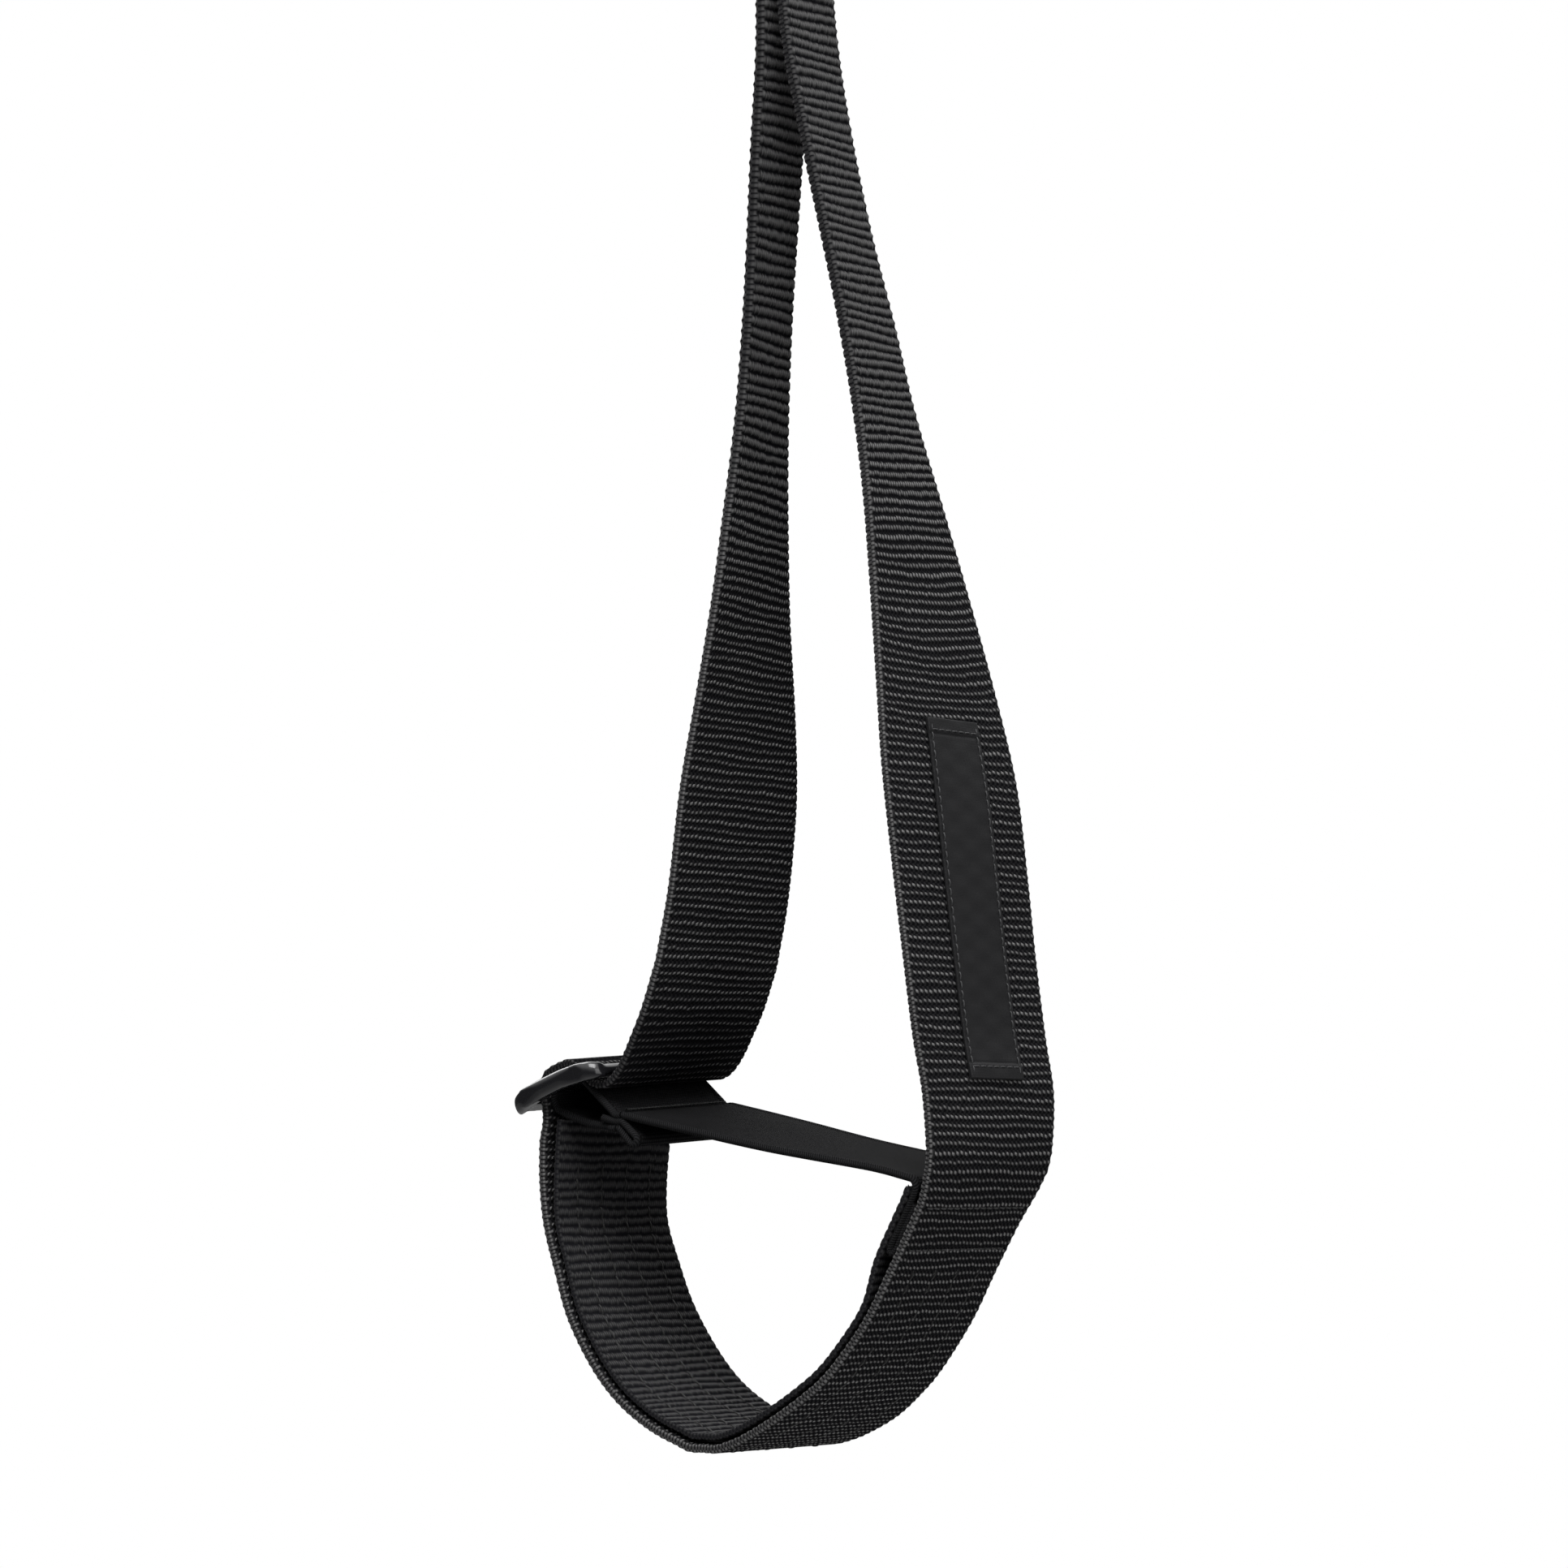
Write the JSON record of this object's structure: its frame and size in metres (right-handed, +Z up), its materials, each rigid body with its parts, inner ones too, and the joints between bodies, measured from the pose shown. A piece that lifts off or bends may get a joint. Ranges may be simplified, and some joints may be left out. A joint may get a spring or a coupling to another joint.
{
  "type": "foot-loop etrier",
  "caption": "Webbing foot loop for rope climbing: clip-in eye, two legs, lined step and an instep strap of elastic on a slider.",
  "frame": {"origin": "Inside of the clip-in eye's top, where a carabiner bears, in the middle of the webbing's width.", "axes": "+Z up along the hanging loop, X across the step with the slider at -X, Y along the width of the webbing."},
  "size_m": [0.1143, 0.0496, 0.4042],
  "materials": {
    "eye_webbing": "matte",
    "neck_webbing": "matte",
    "leg_webbing": "matte",
    "step_webbing": "matte",
    "step_lining": "matte",
    "step_stiffener": "satin",
    "bar_tack": "matte",
    "quilting_thread": "matte",
    "joint_thread": "matte",
    "slider_metal": "satin",
    "elastic": "matte",
    "elastic_thread": "matte",
    "label": "satin",
    "label_thread": "matte"
  },
  "bodies": {
    "eye": {"eye_inner_layer": "eye_webbing", "eye_outer_layer": "eye_webbing", "eye_bar_tack_left_1": "bar_tack", "eye_bar_tack_left_2": "bar_tack", "eye_bar_tack_right_1": "bar_tack", "eye_bar_tack_right_2": "bar_tack"},
    "loop": {"neck_layer_1": "neck_webbing", "neck_layer_2": "neck_webbing", "neck_layer_3": "neck_webbing", "neck_layer_4": "neck_webbing", "webbing_end_left": "leg_webbing", "webbing_end_right": "leg_webbing", "junction_bar_tack_left_1": "bar_tack", "junction_bar_tack_left_2": "bar_tack", "junction_bar_tack_right_1": "bar_tack", "junction_bar_tack_right_2": "bar_tack", "left_leg_webbing": "leg_webbing", "right_leg_webbing": "leg_webbing", "step_webbing": "step_webbing", "step_lining": "step_lining", "step_stiffener": "step_stiffener", "quilting_row_inner_1": "quilting_thread", "quilting_row_inner_2": "quilting_thread", "quilting_row_inner_3": "quilting_thread", "quilting_row_inner_4": "quilting_thread", "quilting_row_outer_1": "quilting_thread", "quilting_row_outer_2": "quilting_thread", "quilting_row_outer_3": "quilting_thread", "quilting_row_outer_4": "quilting_thread", "strap_joint_row_inner_1": "joint_thread", "strap_joint_row_inner_2": "joint_thread", "strap_joint_row_outer_1": "joint_thread", "strap_joint_row_outer_2": "joint_thread", "instep_elastic": "elastic", "label_patch": "label", "label_seam": "label_thread"},
    "carriage": {"slider_wrap_webbing": "leg_webbing", "elastic_bar_loop": "elastic", "elastic_tail_fold": "elastic", "elastic_tack_row_upper": "elastic_thread", "elastic_tack_row_lower": "elastic_thread"},
    "slider": {"tri_glide_slider": "slider_metal"}
  },
  "joints": [
    {"name": "eye_fold", "type": "hinge", "parent": "eye", "child": "loop", "pos_m": [0, 0, -0.063], "axis": [0, 1, 0], "range_deg": [-80, 80], "deforming": ["neck_layer_1", "neck_layer_2", "neck_layer_3", "neck_layer_4"]},
    {"name": "strap_adjust", "type": "slide", "parent": "loop", "child": "carriage", "axis": [0, 0, 1], "range_m": [0, 0.015], "deforming": ["slider_wrap_webbing", "instep_elastic"]},
    {"name": "slider_tilt", "type": "hinge", "parent": "carriage", "child": "slider", "pos_m": [-0.05, 0, -0.3208], "axis": [-0.0227, 0.9976, 0.066], "range_deg": [-6, 6], "deforming": ["slider_wrap_webbing", "elastic_bar_loop"]}
  ]
}
